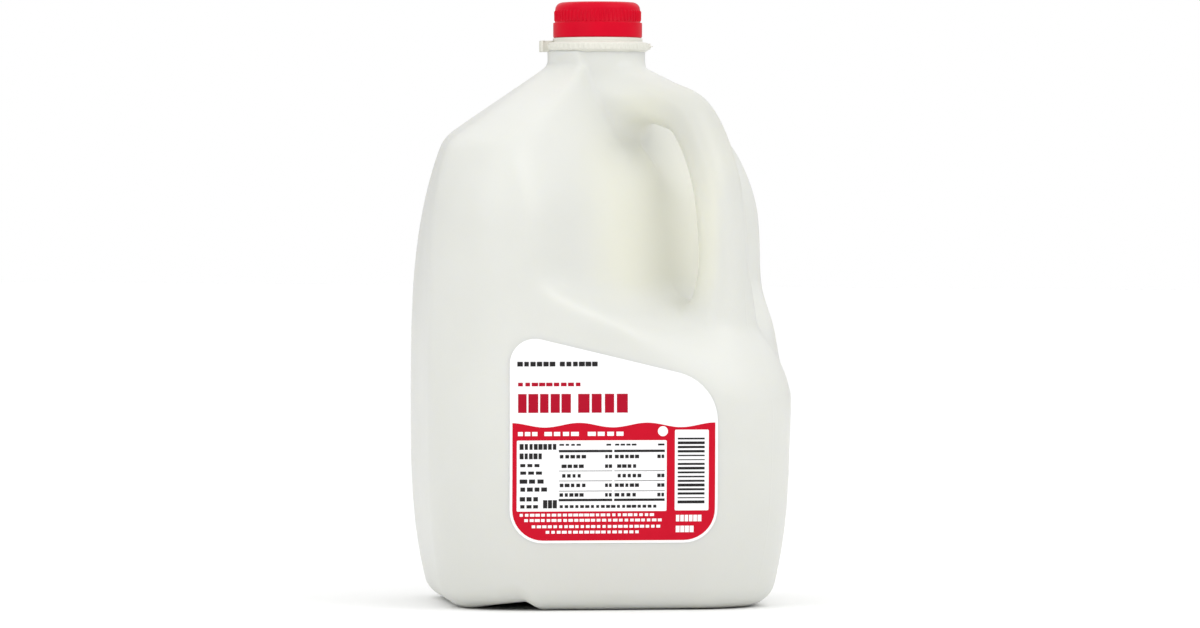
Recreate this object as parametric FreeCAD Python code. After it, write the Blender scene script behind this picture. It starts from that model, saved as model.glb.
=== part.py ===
import FreeCAD, Part
import math
import os

# A one-gallon milk jug, blow-moulded in two halves, with its screw cap and its label. Millimetres.
# The origin is at the centre of the foot, on the neck's axis, and +Z is up. The corner with the
# handle points to +X, the mould halves meet on the XZ plane, and the label is on the flat face
# between -Y and +X.

# Body: a rounded square in plan, with its corners on the X and Y axes
belly_half_width = 76.2      # axis to flat face, at the widest height
belly_height = 85.5
corner_radius = 36.0
heel_draw_in = 8.0           # how much closer to the axis the flat faces are at the foot
heel_curve = 3.1
foot_edge_radius = 11.5
base_hollow_depth = 3.0      # the base is pushed up inside its rim
base_hollow_inset = 12.0

# Shoulder and neck
shoulder_height = 197.5
shoulder_draw_in = 13.0      # how much closer to the axis the flat faces are at the shoulder
shoulder_curve = 3.1
shoulder_roundness = 4.0
shoulder_rise = 30.5         # from the shoulder to where its slope would meet the neck
neck_radius = 20.6
neck_roundness = 5.0
neck_lap = 0.15              # how much the neck stands proud of the shoulder's skin
neck_length = 5.5            # from there up to the ring

# Ring under the cap, with its locking teeth and the two stops that face flat faces
ring_thickness = 3.4
ring_overhang = 1.0          # past the neck
tooth_count = 60
tooth_height = 0.6
stop_overhang = 2.9          # past the neck
stop_width = 5.0
stop_turn = 45.0             # from the handle

# Cap, which screws down over the spout
cap_radius = 18.5
cap_height = 15.0
cap_wall = 1.4
cap_clearance = 0.25         # spout to the inside of the cap
cap_gap = 2.1                # ring to the cap's rim
cap_edge_radius = 3.0
cap_flare = 0.35             # how much wider the rim is than the top
cap_rib_count = 72
cap_rib_depth = 0.35
cap_rib_height = 5.4
spout_band_overhang = 0.5    # of the spout's bead, in sight below the cap, past the cap's side

# Finger recess on both sides of the handle
recess_wall_top = 30.5       # axis to the wall behind the handle, at the shoulder's height
recess_wall_slope = 0.13      # how much further out the wall is for each millimetre down
recess_edge_x = 27.0         # where the wall runs out into the corner beside the flat face
recess_edge_y = 77.0
recess_floor_height = 108.0  # lip of the floor, at the handle's foot
recess_floor_rise = 26.0     # how much higher the lip is at the recess's far end
recess_lip_curve = 1.8
recess_floor_slope = 0.50
recess_lip_roundness = 9.0
recess_corner_roundness = 24.0   # of the lip at the handle's foot
recess_corner_turn = 32.0        # how far round the corner that rounder lip reaches, in degrees
recess_root_roundness = 10.0

# Handle: an oval bar from the neck down to the corner of the body
handle_depth = 19.0          # across the bar, in the parting plane
handle_width = 21.0          # across the bar, along Y
handle_neck_growth = 0.35    # how much bigger the bar is at the neck, as a share
handle_foot_growth = 1.9     # and at its buried end, where it opens out into the corner
handle_elbow_x = 50.5        # of the bar's middle line, as are the others
handle_elbow_rise = 6.0      # above the shoulder
handle_top_rise = 18.0       # the neck end of the top run is this much above the elbow
handle_foot_x = 68.2
handle_foot_rise = 22.0      # above the lip of the recess's floor
handle_buried_x = 61.5       # the bar's end, inside the body's corner
handle_buried_depth = 16.0   # below that lip
handle_bow = 6.0             # how far the grip bows out from the straight line elbow to foot

# Notch in the foot's edge, between the -Y corner and the label face and its mirror image
notch_angle = 76.0           # from +X
notch_long_side = 34.0       # its gentle side, away from the label face
notch_short_side = 6.0
notch_height = 4.0

# Label on the flat face between -Y and +X
label_thickness = 0.3
label_width = 86.5
label_bottom = 28.4
label_height = 87.3
label_top_drop = 20.8        # how much lower the top edge is on the handle's side
label_side_shift = -2.0      # of the label's middle along the face, away from the handle
label_corner_radius = 14.0

half_turn_steps = 45
neck_base_height = shoulder_height + shoulder_rise
neck_top_height = neck_base_height + neck_length
cap_bottom_height = neck_top_height + ring_thickness + cap_gap
total_height = cap_bottom_height + cap_height
vector = FreeCAD.Vector


def smooth_min(a, b, roundness):
    blend = max(roundness - abs(a - b), 0.0) / roundness
    return min(a, b) - blend * blend * roundness / 4.0


def smooth_max(a, b, roundness):
    return -smooth_min(-a, -b, roundness)


def rounded_square_radius(angle, half_width, radius):
    """Distance from the axis to a rounded square whose flat faces are at 45 degrees to the axes."""
    off_normal = abs((math.degrees(angle) % 90.0) - 45.0)
    off_normal = math.radians(off_normal)
    arc_centre = half_width - radius
    if half_width * math.tan(off_normal) <= arc_centre:
        return half_width / math.cos(off_normal)
    reach = arc_centre * math.sqrt(2.0)
    off_corner = math.radians(45.0) - off_normal
    across = reach * math.sin(off_corner)
    return reach * math.cos(off_corner) + math.sqrt(radius * radius - across * across)


def side_half_width(height):
    """Axis to flat face, which runs on straight above the shoulder."""
    if height > shoulder_height:
        steepness = shoulder_draw_in * shoulder_curve / (shoulder_height - belly_height)
        return side_half_width(shoulder_height) - steepness * (height - shoulder_height)
    if height > belly_height:
        share = (height - belly_height) / (shoulder_height - belly_height)
        return belly_half_width - shoulder_draw_in * share ** shoulder_curve
    share = (belly_height - height) / belly_height
    return belly_half_width - heel_draw_in * share ** heel_curve


def shoulder_radius_at(angle, height):
    """The sloping shoulder, from the rounded square below to a circle at the neck."""
    share = (height - shoulder_height) / (neck_base_height - shoulder_height)
    share = min(share, 1.0)
    half_width = side_half_width(shoulder_height)
    half_width += share * (neck_radius - half_width)
    radius = corner_radius + share * (neck_radius - corner_radius)
    return rounded_square_radius(angle, half_width, radius)


def recess_radius_at(angle, height):
    """The wall and the floor of the finger recess, open above and towards the handle."""
    wall_x = recess_wall_top + recess_wall_slope * (shoulder_height - height)
    bow = (wall_x - recess_edge_x) / recess_edge_y ** 2
    side = math.sin(angle) ** 2
    if bow * side > 1e-6:
        root = math.cos(angle) ** 2 + 4.0 * bow * wall_x * side
        wall = (math.sqrt(root) - math.cos(angle)) / (2.0 * bow * side)
    else:
        wall = wall_x
    edge_angle = math.atan2(recess_edge_y, recess_edge_x)
    lip = recess_floor_height + recess_floor_rise * (angle / edge_angle) ** recess_lip_curve
    outside = rounded_square_radius(angle, side_half_width(height), corner_radius)
    floor = outside + (lip - height) / recess_floor_slope
    return smooth_max(wall, floor, recess_root_roundness)


def body_radius(angle, height):
    side = rounded_square_radius(angle, side_half_width(height), corner_radius)
    radius = smooth_min(side, shoulder_radius_at(angle, height), shoulder_roundness)
    if angle < math.radians(100.0) and height > recess_floor_height - 30.0:
        recess = recess_radius_at(angle, height)
        share = max(1.0 - math.degrees(angle) / recess_corner_turn, 0.0)
        roundness = recess_lip_roundness
        roundness += (recess_corner_roundness - recess_lip_roundness) * share * (2.0 - share)
        radius = smooth_min(radius, recess, roundness)
    return smooth_max(radius, neck_radius - neck_lap, neck_roundness)


def body_rows():
    """Heights of the rows of the body's surface, each with its inset by the foot's round edge."""
    rows = []
    for step in range(6):
        turn = math.radians(90.0 * step / 6.0)
        height = foot_edge_radius * (1.0 - math.cos(turn))
        rows.append((height, foot_edge_radius * (1.0 - math.sin(turn))))
    spans = [(foot_edge_radius, recess_floor_height - 22.0, 9.0),
             (recess_floor_height - 22.0, recess_floor_height + 40.0, 2.5),
             (recess_floor_height + 40.0, shoulder_height - 12.0, 5.0),
             (shoulder_height - 12.0, neck_base_height + 5.0, 1.6)]
    for low, high, pitch in spans:
        count = max(int(round((high - low) / pitch)), 1)
        for step in range(count):
            rows.append((low + (high - low) * step / count, 0.0))
    rows.append((neck_base_height + 5.0, 0.0))
    return rows


def half_body(growth):
    """The mould half on the +Y side: one smooth skin, grown outward, closed by flat faces."""
    rows = body_rows()
    points = []
    for height, inset in rows:
        row = []
        for step in range(half_turn_steps + 1):
            angle = math.pi * step / half_turn_steps
            radius = body_radius(angle, height) - inset + growth
            across = radius * math.sin(angle) if 0 < step < half_turn_steps else 0.0
            row.append(vector(radius * math.cos(angle), across, height))
        points.append(row)
    surface = Part.BSplineSurface()
    surface.interpolate(points)
    skin = surface.toShape()
    edges = skin.Edges
    bottom = top = front = back = None
    for edge in edges:
        middle = edge.valueAt((edge.FirstParameter + edge.LastParameter) / 2.0)
        if middle.y > 1.0 and middle.z < 1.0:
            bottom = edge
        elif middle.y > 1.0:
            top = edge
        elif middle.x > 0.0:
            front = edge
        else:
            back = edge
    faces = [skin]
    chords = []
    for edge in (bottom, top):
        ends = [edge.Vertexes[0].Point, edge.Vertexes[-1].Point]
        chord = Part.makeLine(ends[0], ends[1])
        chords.append(chord)
        faces.append(Part.Face(Part.Wire([edge, chord])))
    outline = Part.Wire(Part.__sortEdges__([front, back] + chords))
    faces.append(Part.Face(outline))
    shell = Part.makeShell(faces)
    shell.sewShape()
    solid = Part.makeSolid(shell)
    if solid.Volume < 0.0:
        solid.reverse()
    return solid


def mirrored(shape):
    return shape.mirror(vector(0, 0, 0), vector(0, 1, 0))


def revolved(outline):
    """A solid of revolution about Z from (radius, height) corners."""
    corners = [vector(radius, 0, height) for radius, height in outline]
    face = Part.Face(Part.makePolygon(corners + corners[:1]))
    return face.revolve(vector(0, 0, 0), vector(0, 0, 1), 360.0)


def toothed_disc(count, radius, depth, height):
    """A disc with as many teeth around it, each rising slowly and dropping steeply."""
    corners = []
    for step in range(count):
        start = 360.0 * step / count
        for share, reach in ((0.0, radius - depth), (0.7, radius)):
            turn = math.radians(start + 360.0 * share / count)
            corners.append(vector(reach * math.cos(turn), reach * math.sin(turn), 0))
    return Part.Face(Part.makePolygon(corners + corners[:1])).extrude(vector(0, 0, height))


def handle_route():
    """Centre, direction and size of each section of the bar, from the neck to the body's corner."""
    elbow = vector(handle_elbow_x, 0, shoulder_height + handle_elbow_rise)
    foot = vector(handle_foot_x, 0, recess_floor_height + handle_foot_rise)
    start = vector(neck_radius * 0.6, 0, elbow.z + handle_top_rise)
    upper = elbow + (foot - elbow) * 0.3 + vector(handle_bow, 0, 0)
    lower = elbow + (foot - elbow) * 0.65 + vector(handle_bow * 0.6, 0, 0)
    end = vector(handle_buried_x, 0, recess_floor_height - handle_buried_depth)
    curve = Part.BSplineCurve()
    curve.interpolate([start, start + (elbow - start) * 0.6, elbow, upper, lower, foot, end])
    return curve


def handle():
    curve = handle_route()
    wires = []
    sections = 14
    for step in range(sections + 1):
        share = step / sections
        parameter = curve.FirstParameter + share * (curve.LastParameter - curve.FirstParameter)
        centre = curve.value(parameter)
        along = curve.tangent(parameter)[0]
        growth = 1.0 + handle_neck_growth * max(1.0 - 3.0 * share, 0.0) ** 2
        growth += handle_foot_growth * max(3.0 * share - 2.0, 0.0) ** 2
        outward = vector(0, 1, 0).cross(along)
        outward.normalize()
        deep = handle_depth * growth / 2.0
        wide = handle_width * growth / 2.0
        if wide >= deep:
            oval = Part.Ellipse(centre + vector(0, 1, 0) * wide, centre + outward * deep, centre)
        else:
            oval = Part.Ellipse(centre + outward * deep, centre + vector(0, 1, 0) * wide, centre)
        wires.append(Part.Wire([oval.toShape()]))
    return Part.makeLoft(wires, True, False)


def base_hollow():
    half_width = side_half_width(0.0) - foot_edge_radius - base_hollow_inset
    low = vector(0, 0, 0)
    return Part.makeCone(half_width + base_hollow_depth * 3.0, half_width, base_hollow_depth, low)


def foot_notch():
    """A shallow V across the foot's edge, steep on the side next to the flat face."""
    inner = belly_half_width * 0.72
    outer = belly_half_width * 1.3
    corners = [vector(inner, -notch_long_side, 0), vector(inner, notch_short_side, 0),
               vector(inner, 0, notch_height)]
    face = Part.Face(Part.makePolygon(corners + corners[:1]))
    wedge = face.extrude(vector(outer - inner, 0, notch_height))
    wedge.rotate(vector(0, 0, 0), vector(0, 0, 1), -notch_angle)
    return wedge


def neck():
    """Neck, locking ring and the spout inside the cap, down to the shoulder."""
    low = neck_base_height - 4.0
    spout_radius = cap_radius - cap_wall - cap_clearance
    spout_top = total_height - cap_wall
    ring_top = neck_top_height + ring_thickness
    ring_radius = neck_radius + ring_overhang
    spout_band_radius = cap_radius + spout_band_overhang
    profile = [(0.0, low), (neck_radius, low), (neck_radius, neck_top_height),
               (ring_radius, neck_top_height + 0.6), (ring_radius, ring_top),
               (spout_band_radius, ring_top), (spout_band_radius, ring_top + cap_gap * 0.7),
               (spout_radius, cap_bottom_height), (spout_radius, spout_top), (0.0, spout_top)]
    shape = revolved(profile)
    ring = toothed_disc(tooth_count, ring_radius + tooth_height, tooth_height, ring_thickness - 0.6)
    ring.translate(vector(0, 0, neck_top_height + 0.6))
    shape = shape.fuse(ring)
    for side in (stop_turn, stop_turn + 180.0):
        stop = Part.makeBox(stop_overhang + 4.0, stop_width, ring_thickness)
        stop.translate(vector(neck_radius - 4.0, -stop_width / 2.0, neck_top_height))
        stop.rotate(vector(0, 0, 0), vector(0, 0, 1), side)
        shape = shape.fuse(stop)
    return shape


def cap():
    """A cup over the spout: a plain skirt, and fine upright ribs above a small step."""
    rib_bottom = total_height - cap_edge_radius - cap_rib_height
    inside = cap_radius - cap_wall
    roof = total_height - cap_wall
    outline = [(inside, cap_bottom_height), (cap_radius + cap_flare, cap_bottom_height),
               (cap_radius + cap_flare, rib_bottom), (cap_radius - cap_rib_depth, rib_bottom + 0.5)]
    outline.append((cap_radius - cap_rib_depth, total_height - cap_edge_radius))
    for step in range(1, 5):
        turn = math.radians(90.0 * step / 4.0)
        radius = cap_radius - cap_rib_depth - cap_edge_radius * (1.0 - math.cos(turn))
        outline.append((radius, total_height - cap_edge_radius * (1.0 - math.sin(turn))))
    outline += [(0.0, total_height), (0.0, roof), (inside, roof)]
    shape = revolved(outline)
    ribs = toothed_disc(cap_rib_count, cap_radius, cap_rib_depth, cap_rib_height)
    core = Part.makeCylinder(cap_radius - cap_wall, cap_rib_height)
    ribs = ribs.cut(core)
    ribs.translate(vector(0, 0, rib_bottom))
    return shape.fuse(ribs)


def label_outline():
    """The label's corners along the face and up it, from its lower left, clockwise seen from outside."""
    left = label_side_shift - label_width / 2.0
    right = left + label_width
    top = label_bottom + label_height
    return [(left, label_bottom), (left, top), (right, top - label_top_drop), (right, label_bottom)]


def label(jug):
    """A thin sheet on the flat face, as deep as the label all over."""
    outward = vector(1, -1, 0)
    outward.normalize()
    along = vector(1, 1, 0)
    along.normalize()
    base = outward * (belly_half_width * 0.7)
    corners = [base + along * across + vector(0, 0, height) for across, height in label_outline()]
    blank = Part.Face(Part.makePolygon(corners + corners[:1])).extrude(outward * belly_half_width)
    uprights = []
    for edge in blank.Edges:
        direction = edge.Vertexes[-1].Point - edge.Vertexes[0].Point
        if abs(direction.dot(outward)) > belly_half_width * 0.9:
            uprights.append(edge)
    blank = blank.makeFillet(label_corner_radius, uprights)
    grown = mirrored(half_body(label_thickness))
    return blank.common(grown).cut(jug)


os.makedirs("parts", exist_ok=True)
half = half_body(0.0)
body = half.fuse(mirrored(half)).removeSplitter()
body = body.cut(base_hollow())
notch = foot_notch()
body = body.cut(notch)
body = body.cut(mirrored(notch))
body = body.fuse(handle())
jug = body.fuse(neck()).removeSplitter()
pieces = {"jug": jug, "cap": cap(), "label": label(jug)}
for name, shape in pieces.items():
    solids = shape.Solids
    print(name, "solids", len(solids), "volume", round(shape.Volume), "valid", shape.isValid())
    solids[0].exportStep("parts/" + name + ".step")
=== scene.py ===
import math
import bpy
import bmesh
from mathutils import Matrix, Vector


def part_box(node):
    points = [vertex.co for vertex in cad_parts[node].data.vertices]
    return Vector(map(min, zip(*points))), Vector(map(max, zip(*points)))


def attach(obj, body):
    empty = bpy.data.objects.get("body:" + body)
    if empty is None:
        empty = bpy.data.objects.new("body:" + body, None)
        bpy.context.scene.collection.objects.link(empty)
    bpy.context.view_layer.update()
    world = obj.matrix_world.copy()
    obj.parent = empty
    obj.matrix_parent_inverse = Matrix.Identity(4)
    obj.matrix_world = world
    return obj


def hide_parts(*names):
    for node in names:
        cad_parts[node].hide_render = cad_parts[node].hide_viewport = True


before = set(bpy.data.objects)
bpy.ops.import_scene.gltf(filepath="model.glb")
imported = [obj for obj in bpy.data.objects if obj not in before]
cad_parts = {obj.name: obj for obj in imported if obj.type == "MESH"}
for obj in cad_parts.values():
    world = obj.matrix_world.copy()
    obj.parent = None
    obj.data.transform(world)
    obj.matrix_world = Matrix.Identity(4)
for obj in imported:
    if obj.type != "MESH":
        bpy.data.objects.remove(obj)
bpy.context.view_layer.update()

mm = 0.001
faceOut = Vector((1, -1, 0)).normalized()      # the label's face looks this way
faceAlong = Vector((1, 1, 0)).normalized()     # and this way is along it, towards the handle


def hexColour(code):                           # sRGB hex to the linear colour that shaders want
    channels = [int(code[place:place + 2], 16) / 255 for place in (0, 2, 4)]
    linear = [c / 12.92 if c <= 0.04045 else ((c + 0.055) / 1.055) ** 2.4 for c in channels]
    return (*linear, 1)


def addNode(tree, kind, settings=None, **links):     # one node, its settings and its links or values
    node = tree.nodes.new(kind)
    for name, value in (settings or {}).items():
        setattr(node, name, value)
    for name, value in links.items():
        spot = int(name[1:]) if name[0] == "i" and name[1:].isdigit() else name.replace("_", " ")
        socket = node.inputs[spot]
        if isinstance(value, Flow):
            value = value.socket
        if isinstance(value, bpy.types.NodeSocket):
            tree.links.new(value, socket)
        else:
            socket.default_value = value
    return node


class Flow:                                    # a number on its way through a node tree
    def __init__(self, tree, socket):
        self.tree, self.socket = tree, socket

    def calc(self, operation, *others):
        links = {f"i{place}": value for place, value in enumerate((self, *others))}
        node = addNode(self.tree, "ShaderNodeMath", {"operation": operation}, **links)
        return Flow(self.tree, node.outputs[0])

    def __add__(self, other):
        return self.calc("ADD", other)

    def __radd__(self, other):
        return self.calc("ADD", other)

    def __sub__(self, other):
        return self.calc("SUBTRACT", other)

    def __rsub__(self, other):
        return (self * -1.0) + other

    def __mul__(self, other):
        return self.calc("MULTIPLY", other)

    def __rmul__(self, other):
        return self.calc("MULTIPLY", other)

    def __truediv__(self, other):
        return self.calc("DIVIDE", other)

    def __pow__(self, other):
        return self.calc("POWER", other)

    def __neg__(self):
        return self * -1.0

    def __abs__(self):
        return self.calc("ABSOLUTE")

    def least(self, other):
        return self.calc("MINIMUM", other)

    def most(self, other):
        return self.calc("MAXIMUM", other)

    def root(self):
        return self.calc("SQRT")

    def softLeast(self, other, roundness):
        return self.calc("SMOOTH_MIN", other, roundness)

    def softMost(self, other, roundness):
        return self.calc("SMOOTH_MAX", other, roundness)


def newTree(name, inputs, geometryIn=True, geometryOut=True):
    tree = bpy.data.node_groups.new(name, "GeometryNodeTree")
    if geometryIn:
        tree.interface.new_socket("Geometry", in_out="INPUT", socket_type="NodeSocketGeometry")
    for label, kind, value in inputs:
        socket = tree.interface.new_socket(label, in_out="INPUT", socket_type="NodeSocket" + kind)
        if value is not None:
            socket.default_value = value
    if geometryOut:
        tree.interface.new_socket("Geometry", in_out="OUTPUT", socket_type="NodeSocketGeometry")
    else:
        tree.interface.new_socket("Distance", in_out="OUTPUT", socket_type="NodeSocketFloat")
    return tree, tree.nodes.new("NodeGroupInput"), tree.nodes.new("NodeGroupOutput")


def runTree(name, base, tree, values):         # base mesh through the tree, to a plain mesh
    carrier = bpy.data.objects.new(name + "Carrier", base)
    bpy.context.scene.collection.objects.link(carrier)
    modifier = carrier.modifiers.new("build", "NODES")
    modifier.node_group = tree
    for item in tree.interface.items_tree:
        if item.item_type == "SOCKET" and item.in_out == "INPUT" and item.name in values:
            modifier[item.identifier] = values[item.name]
    graph = bpy.context.evaluated_depsgraph_get()
    made = bpy.data.meshes.new_from_object(carrier.evaluated_get(graph))
    carrier.modifiers.remove(modifier)
    bpy.data.objects.remove(carrier)
    return made


def makePiece(name, mesh, sharpTurn=40):  # a mesh becomes a piece that rides on the jug's one body
    mesh.name = name
    mesh.polygons.foreach_set("use_smooth", [True] * len(mesh.polygons))
    mesh.set_sharp_from_angle(angle=math.radians(sharpTurn))
    piece = bpy.data.objects.new(name, mesh)
    bpy.context.scene.collection.objects.link(piece)
    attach(piece, "root")
    triangles = sum(len(face.vertices) - 2 for face in mesh.polygons)
    print(name, "made,", triangles, "triangles")
    return piece


def plainMesh(name, points, faces):
    mesh = bpy.data.meshes.new(name)
    mesh.from_pydata([tuple(point) for point in points], [], faces)
    mesh.update()
    return mesh


def newMaterial(name, colour, roughness, ior=1.5):
    material = bpy.data.materials.new(name)
    material.use_nodes = True
    tree = material.node_tree
    shader = tree.nodes["Principled BSDF"]
    shader.inputs["Base Color"].default_value = hexColour(colour)
    shader.inputs["Roughness"].default_value = roughness
    shader.inputs["IOR"].default_value = ior
    return material, tree, shader


def patchyNoise(tree, place, patchSize):       # soft patches of that many millimetres
    noise = addNode(tree, "ShaderNodeTexNoise", Vector=place, Scale=1 / (patchSize * mm), Detail=2.0)
    return noise.outputs[0]


def mixColours(tree, share, one, other):       # one may be a socket or a hex colour, other is a hex colour
    mixed = addNode(tree, "ShaderNodeMix", {"data_type": "RGBA"}, Factor=share)
    if isinstance(one, str):
        mixed.inputs[6].default_value = hexColour(one)
    else:
        tree.links.new(one, mixed.inputs[6])
    mixed.inputs[7].default_value = hexColour(other)
    return mixed.outputs[2]


def roughSkin(tree, shader, grainSize, depth, uneven=0.08):  # fine relief in millimetres, and uneven gloss
    place = addNode(tree, "ShaderNodeTexCoord").outputs["Object"]
    noise = patchyNoise(tree, place, grainSize)
    dull = Flow(tree, noise) * uneven + (shader.inputs["Roughness"].default_value - uneven / 2)
    tree.links.new(dull.socket, shader.inputs["Roughness"])
    bump = addNode(tree, "ShaderNodeBump", Height=noise, Distance=depth * mm, Strength=1.0)
    tree.links.new(bump.outputs[0], shader.inputs["Normal"])
    return place, bump


cameraSettings = {"azimuth": 38.4, "distance": 2.753, "height": 0.158, "aimHeight": 0.122, "lens": 194.8}


def placeCamera(s):
    turn = math.radians(s["azimuth"])
    place = Vector((math.sin(turn), -math.cos(turn), 0)) * s["distance"]
    place.z = s["height"]
    sideways = Vector((math.cos(turn), math.sin(turn), 0)) * 0.001
    aim = Vector((0, 0, s["aimHeight"])) + sideways
    data = bpy.data.cameras.new("camera")
    data.lens = s["lens"]
    data.sensor_width = 36
    data.clip_end = 60
    camera = bpy.data.objects.new("camera", data)
    camera.location = place
    camera.rotation_euler = (aim - place).to_track_quat("-Z", "Y").to_euler()
    bpy.context.scene.collection.objects.link(camera)
    bpy.context.scene.camera = camera


placeCamera(cameraSettings)
print("camera placed")


# the jug: one smooth skin round a rounded-square body, a finger recess and an oval handle
jugSizes = {                                   # millimetres
    "Belly Half Width": 76.2, "Belly Height": 85.5, "Corner Radius": 36.0,
    "Heel Draw In": 8.0, "Heel Curve": 3.1, "Foot Edge Radius": 9.0,
    "Hollow Depth": 3.0, "Hollow Inset": 14.0, "Hollow Edge": 4.0,
    "Shoulder Height": 197.5, "Shoulder Draw In": 13.0, "Shoulder Curve": 3.1, "Shoulder Roundness": 5.0,
    "Corner Fullness": 3.0, "Fuller From": 35.0, "Fuller Reach": 40.0, "Fuller Low": 120.0,
    "Fuller Rise": 60.0, "Pinch Width": 14.0, "Pinch Length": 60.0, "Shoulder Evening": 0.55,
    "Neck Base Height": 228.0, "Neck Radius": 20.3, "Neck Roundness": 6.0, "Neck Top": 233.6,
    "Wall Top": 30.5, "Wall Slope": 0.13, "Wall Edge X": 28.5, "Wall Edge Y": 77.0,
    "Floor Height": 108.0, "Floor Rise": 26.0, "Floor Slope": 0.5, "Lip Curve": 1.8,
    "Lip Roundness": 5.5, "Lip Corner Roundness": 16.0, "Root Roundness": 12.0,
    "Lip Corner Turn": 32.0, "Lean Height": 90.5, "Lean Rise": 20.0, "Lean Slope": 0.47, "Lean Turn": 35.0,
    "Lean Roundness": 8.0, "Floor Evening": 0.8, "Lean Evening": 0.92,
    "Handle Depth": 19.0, "Handle Width": 21.0, "Foot Flare": 0.25, "Flare Reach": 20.0, "Flare Top": 150.0,
    "Oval Power": 2.3, "Handle Blend": 7.0, "Arm Blend": 26.0, "Arm Reach": 50.0, "Arm Fade": 26.0,
    "Arm Low": 180.0, "Arm Low Fade": 20.0, "Arm Top": 226.0, "Arm Top Fade": 14.0,
    "Notch Turn": 76.0, "Notch Long": 30.0, "Notch Short": 5.0, "Notch Height": 3.6,
    "Notch From": 40.0, "Notch Reach": 30.0, "Notch Side": 20.0,
    "Waviness": 0.25, "Waves Per Metre": 22.0,
}
plainNumbers = {"Heel Curve", "Shoulder Curve", "Wall Slope", "Floor Slope", "Lip Curve", "Foot Flare",
                "Lean Slope", "Oval Power", "Shoulder Evening", "Floor Evening", "Lean Evening",
                "Waves Per Metre"}
turnsInDegrees = {"Notch Turn", "Lip Corner Turn", "Lean Turn"}
skinGrid = {"voxel": 1.7, "space": 3.0, "slides": 2, "probe": 0.4, "longestSlide": 1.2}    # millimetres
handleRoute = [(12.4, 220.5), (34.5, 211.6), (50.6, 203.9), (62.1, 181.5), (66.3, 155.7), (66.9, 130.0),
               (63.4, 112.0), (60.0, 94.0)]    # x and height along the bar's middle


def inMetres(sizes):
    values = {}
    for name, value in sizes.items():
        if name in plainNumbers:
            values[name] = value
        elif name in turnsInDegrees:
            values[name] = math.radians(value)
        else:
            values[name] = value * mm
    return values


def smoothRoute(points, steps):                # smooth curve through the points
    route = [Vector((x * mm, 0, z * mm)) for x, z in points]
    route = [route[0] * 2 - route[1]] + route + [route[-1] * 2 - route[-2]]
    line = []
    for one, two, three, four in zip(route, route[1:], route[2:], route[3:]):
        for step in range(steps):
            t = step / steps
            line.append(0.5 * (2 * two + (three - one) * t + (2 * one - 5 * two + 4 * three - four) * t ** 2
                               + (3 * two - one - 3 * three + four) * t ** 3))
    return line + [route[-2]]


halfDiagonal = 0.70711                         # a sloping line's share of its sides' sum


def roundedSquare(x, y, halfWidth, radius):    # distance to a rounded square that stands on its corner
    across = abs(x + y) * halfDiagonal - halfWidth + radius
    along = abs(x - y) * halfDiagonal - halfWidth + radius
    outside = (across.most(0.0) ** 2.0 + along.most(0.0) ** 2.0).root()
    return outside + across.most(along).least(0.0) - radius


def softStep(value):                           # 0 to 1, eased at both ends
    share = value.most(0.0).least(1.0)
    return share * share * (3.0 - 2.0 * share)


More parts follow.
